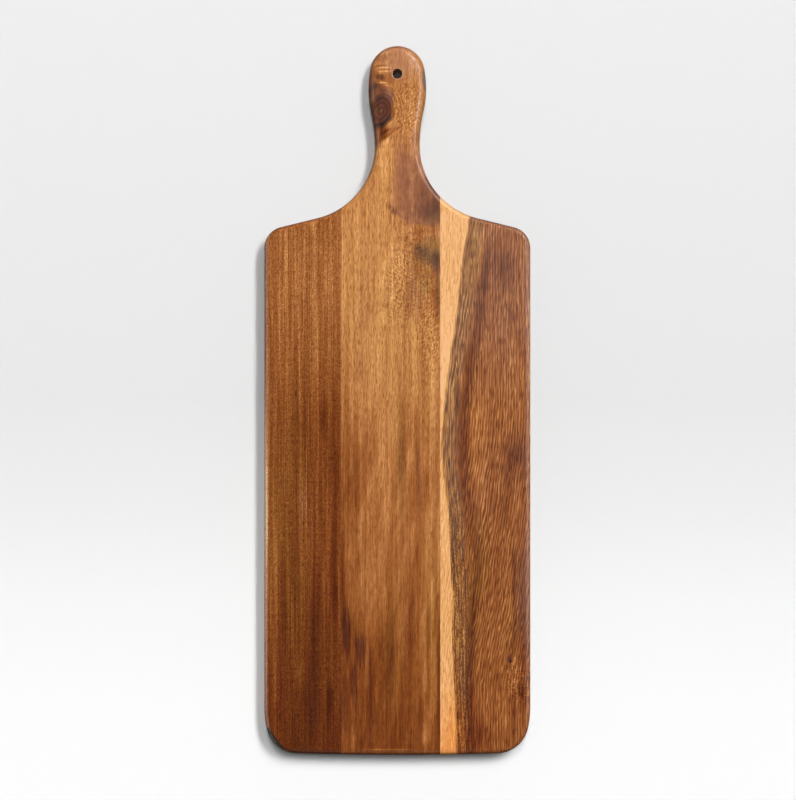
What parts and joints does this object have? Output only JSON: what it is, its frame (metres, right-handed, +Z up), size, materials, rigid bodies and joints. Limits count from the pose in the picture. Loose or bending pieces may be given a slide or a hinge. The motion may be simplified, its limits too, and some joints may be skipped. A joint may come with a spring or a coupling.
{
  "type": "paddle charcuterie board",
  "caption": "Wooden paddle serving board of edge-glued staves with a waisted handle, a hanging hole and rounded edges.",
  "frame": {"origin": "centre of the board's box, on the surface that its underside lies on", "axes": "+Y from the foot along the grain to the tip of the handle, +X across the board to its right as seen from above with the handle away, +Z up out of the serving face"},
  "size_m": [0.2286, 0.61, 0.019],
  "materials": {
    "dark_stave": "oiled, satin",
    "honey_stave": "oiled, satin",
    "brown_stave": "oiled, satin",
    "glue": "cured wood glue, sanded flush"
  },
  "bodies": {
    "root": {"left_stave": "dark_stave", "centre_stave": "honey_stave", "right_stave": "brown_stave", "left_glue_line": "glue", "right_glue_line": "glue"}
  },
  "joints": []
}
